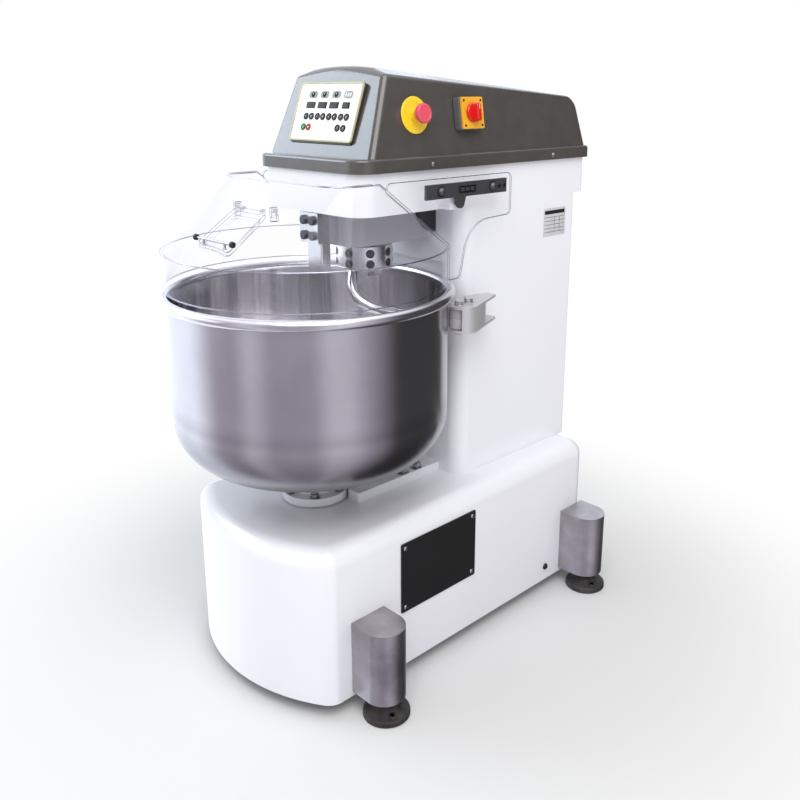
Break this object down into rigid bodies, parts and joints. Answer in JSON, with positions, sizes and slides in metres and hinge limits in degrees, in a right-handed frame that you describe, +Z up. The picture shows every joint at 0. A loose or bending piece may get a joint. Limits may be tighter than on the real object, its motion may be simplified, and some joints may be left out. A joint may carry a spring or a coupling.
{
  "type": "spiral dough mixer",
  "caption": "Floor-standing spiral dough mixer: turning steel bowl under a clear tilting guard, spiral hook and breaker bar, column, top cover with keys and switches.",
  "frame": {"origin": "on the floor, at the middle of the machine's footprint", "axes": "+Z up, the bowl and control panel face -Y, the switches are on the +X side"},
  "size_m": [0.695, 1.0569, 1.3057],
  "materials": {
    "white_casing": "gloss powder coat",
    "graphite_cover": "gloss moulded shell",
    "bowl_steel": "brushed stainless steel",
    "foot_cover_steel": "brushed stainless sheet",
    "hook_steel": "polished stainless steel",
    "bar_steel": "polished stainless steel",
    "bracket_steel": "satin stainless sheet",
    "bolt_chrome": "bright zinc",
    "dark_screws": "black oxide",
    "bearing_steel": "ground steel",
    "frame_paint": "grey primer",
    "gearbox_paint": "grey enamel",
    "pulley_iron": "turned cast iron",
    "motor_paint": "blue-grey enamel",
    "belt_rubber": "matt rubber",
    "foot_rubber": "matt moulded rubber",
    "panel_black": "black satin powder coat",
    "roller_nylon": "turned nylon",
    "guard_clear": "clear polycarbonate sheet",
    "handle_black": "moulded plastic and rod",
    "panel_cream": "satin cover film",
    "display_dark": "smoked window",
    "key_black": "gloss key caps",
    "start_green": "gloss key cap",
    "stop_red": "gloss key cap",
    "stop_yellow": "satin disc",
    "mushroom_red": "moulded cap",
    "switch_grey": "moulded housing",
    "switch_yellow": "moulded plate",
    "switch_red": "moulded handle",
    "gland_black": "moulded nylon"
  },
  "bodies": {
    "machine": {"base_shell": "white_casing", "chassis_frame": "frame_paint", "shaft_bearings": "bearing_steel", "bowl_motor": "motor_paint", "spiral_motor": "motor_paint", "drive_belts": "belt_rubber", "side_panels": "panel_black", "casing_fasteners": "bolt_chrome", "column_shell": "white_casing", "rear_panel": "white_casing", "head_housing": "white_casing", "arm_gearbox": "gearbox_paint", "top_cover": "graphite_cover", "control_panel": "panel_cream", "display_board": "display_dark", "estop_collar": "stop_yellow", "switch_box": "switch_grey", "switch_plate": "switch_yellow", "breaker_clamp": "bar_steel", "clamp_screws": "dark_screws", "breaker_bar": "bar_steel", "roller_bracket": "bracket_steel", "roller_bolts": "bolt_chrome", "foot_columns": "foot_cover_steel", "cable_gland": "gland_black", "guard_pivot_blocks": "white_casing"},
    "bowl": {"bowl": "bowl_steel", "bowl_shaft": "white_casing", "hub_bolts": "bolt_chrome", "bowl_pulley": "pulley_iron"},
    "bowl_drive": {"bowl_motor_pulley": "pulley_iron"},
    "spiral": {"spiral_shaft": "hook_steel", "spiral_pulley": "pulley_iron", "hook_flange": "hook_steel", "flange_screws": "dark_screws", "spiral_hook": "hook_steel"},
    "spiral_drive": {"spiral_motor_pulley": "pulley_iron"},
    "guard": {"guard_shell": "guard_clear", "guard_bars": "bracket_steel"},
    "hatch": {"hatch_flap": "guard_clear", "hatch_handle": "handle_black"},
    "roller": {"guide_roller": "roller_nylon"},
    "emergency_stop": {"estop_button": "mushroom_red"},
    "main_switch": {"switch_knob": "switch_red"},
    "foot_front_left_body": {"foot_front_left": "foot_rubber"},
    "foot_front_right_body": {"foot_front_right": "foot_rubber"},
    "foot_rear_left_body": {"foot_rear_left": "foot_rubber"},
    "foot_rear_right_body": {"foot_rear_right": "foot_rubber"},
    "timer_key_1_body": {"timer_key_1": "key_black"},
    "timer_key_2_body": {"timer_key_2": "key_black"},
    "timer_key_3_body": {"timer_key_3": "key_black"},
    "timer_key_4_body": {"timer_key_4": "key_black"},
    "timer_key_5_body": {"timer_key_5": "key_black"},
    "timer_key_6_body": {"timer_key_6": "key_black"},
    "timer_key_7_body": {"timer_key_7": "key_black"},
    "timer_key_8_body": {"timer_key_8": "key_black"},
    "mode_key_1_body": {"mode_key_1": "key_black"},
    "mode_key_2_body": {"mode_key_2": "key_black"},
    "start_button_body": {"start_button": "start_green"},
    "stop_button_body": {"stop_button": "stop_red"}
  },
  "joints": [
    {"name": "bowl_spin", "type": "hinge", "parent": "machine", "child": "bowl", "pos_m": [0, -0.2175, 0.4], "axis": [0, 0, 1], "continuous": true},
    {"name": "bowl_motor_spin", "type": "hinge", "parent": "machine", "child": "bowl_drive", "pos_m": [0, 0.2025, 0.1], "axis": [0, 0, 1], "continuous": true},
    {"name": "spiral_spin", "type": "hinge", "parent": "machine", "child": "spiral", "pos_m": [0, -0.0605, 0.9], "axis": [0, 0, 1], "continuous": true},
    {"name": "spiral_motor_spin", "type": "hinge", "parent": "machine", "child": "spiral_drive", "pos_m": [0, 0.2825, 1.1], "axis": [0, 0, 1], "continuous": true},
    {"name": "roller_spin", "type": "hinge", "parent": "machine", "child": "roller", "pos_m": [0.2256, 0.0081, 0.79], "axis": [0, 0, 1], "continuous": true},
    {"name": "guard_tilt", "type": "hinge", "parent": "machine", "child": "guard", "pos_m": [0, 0.0225, 1.031], "axis": [-1, 0, 0], "range_deg": [0, 65]},
    {"name": "hatch_lift", "type": "hinge", "parent": "guard", "child": "hatch", "pos_m": [0, -0.3765, 1.04184], "axis": [-1, 0, 0], "range_deg": [0, 110]},
    {"name": "estop_press", "type": "slide", "parent": "machine", "child": "emergency_stop", "axis": [-0.9888, 0, -0.1492], "range_m": [0, 0.004], "stiffness_N_per_m": 900},
    {"name": "switch_turn", "type": "hinge", "parent": "machine", "child": "main_switch", "pos_m": [0.1582, 0.0925, 1.209], "axis": [0.9888, 0, 0.1492], "range_deg": [0, 90]},
    {"name": "foot_front_left_screw", "type": "slide", "parent": "machine", "child": "foot_front_left_body", "axis": [0, 0, -1], "range_m": [0, 0.03]},
    {"name": "foot_front_right_screw", "type": "slide", "parent": "machine", "child": "foot_front_right_body", "axis": [0, 0, -1], "range_m": [0, 0.03]},
    {"name": "foot_rear_left_screw", "type": "slide", "parent": "machine", "child": "foot_rear_left_body", "axis": [0, 0, -1], "range_m": [0, 0.03]},
    {"name": "foot_rear_right_screw", "type": "slide", "parent": "machine", "child": "foot_rear_right_body", "axis": [0, 0, -1], "range_m": [0, 0.03]},
    {"name": "timer_key_1_press", "type": "slide", "parent": "machine", "child": "timer_key_1_body", "axis": [0, 0.9469, -0.3215], "range_m": [0, 0.001], "stiffness_N_per_m": 400},
    {"name": "timer_key_2_press", "type": "slide", "parent": "machine", "child": "timer_key_2_body", "axis": [0, 0.9469, -0.3215], "range_m": [0, 0.001], "stiffness_N_per_m": 400},
    {"name": "timer_key_3_press", "type": "slide", "parent": "machine", "child": "timer_key_3_body", "axis": [0, 0.9469, -0.3215], "range_m": [0, 0.001], "stiffness_N_per_m": 400},
    {"name": "timer_key_4_press", "type": "slide", "parent": "machine", "child": "timer_key_4_body", "axis": [0, 0.9469, -0.3215], "range_m": [0, 0.001], "stiffness_N_per_m": 400},
    {"name": "timer_key_5_press", "type": "slide", "parent": "machine", "child": "timer_key_5_body", "axis": [0, 0.9469, -0.3215], "range_m": [0, 0.001], "stiffness_N_per_m": 400},
    {"name": "timer_key_6_press", "type": "slide", "parent": "machine", "child": "timer_key_6_body", "axis": [0, 0.9469, -0.3215], "range_m": [0, 0.001], "stiffness_N_per_m": 400},
    {"name": "timer_key_7_press", "type": "slide", "parent": "machine", "child": "timer_key_7_body", "axis": [0, 0.9469, -0.3215], "range_m": [0, 0.001], "stiffness_N_per_m": 400},
    {"name": "timer_key_8_press", "type": "slide", "parent": "machine", "child": "timer_key_8_body", "axis": [0, 0.9469, -0.3215], "range_m": [0, 0.001], "stiffness_N_per_m": 400},
    {"name": "mode_key_1_press", "type": "slide", "parent": "machine", "child": "mode_key_1_body", "axis": [0, 0.9469, -0.3215], "range_m": [0, 0.001], "stiffness_N_per_m": 400},
    {"name": "mode_key_2_press", "type": "slide", "parent": "machine", "child": "mode_key_2_body", "axis": [0, 0.9469, -0.3215], "range_m": [0, 0.001], "stiffness_N_per_m": 400},
    {"name": "start_button_press", "type": "slide", "parent": "machine", "child": "start_button_body", "axis": [0, 0.9469, -0.3215], "range_m": [0, 0.001], "stiffness_N_per_m": 400},
    {"name": "stop_button_press", "type": "slide", "parent": "machine", "child": "stop_button_body", "axis": [0, 0.9469, -0.3215], "range_m": [0, 0.001], "stiffness_N_per_m": 400}
  ],
  "couplings": [
    {"joint": "bowl_motor_spin", "follows": "bowl_spin", "ratio": 4.125},
    {"joint": "spiral_motor_spin", "follows": "spiral_spin", "ratio": 2.3333},
    {"joint": "roller_spin", "follows": "bowl_spin", "ratio": -13.454}
  ]
}
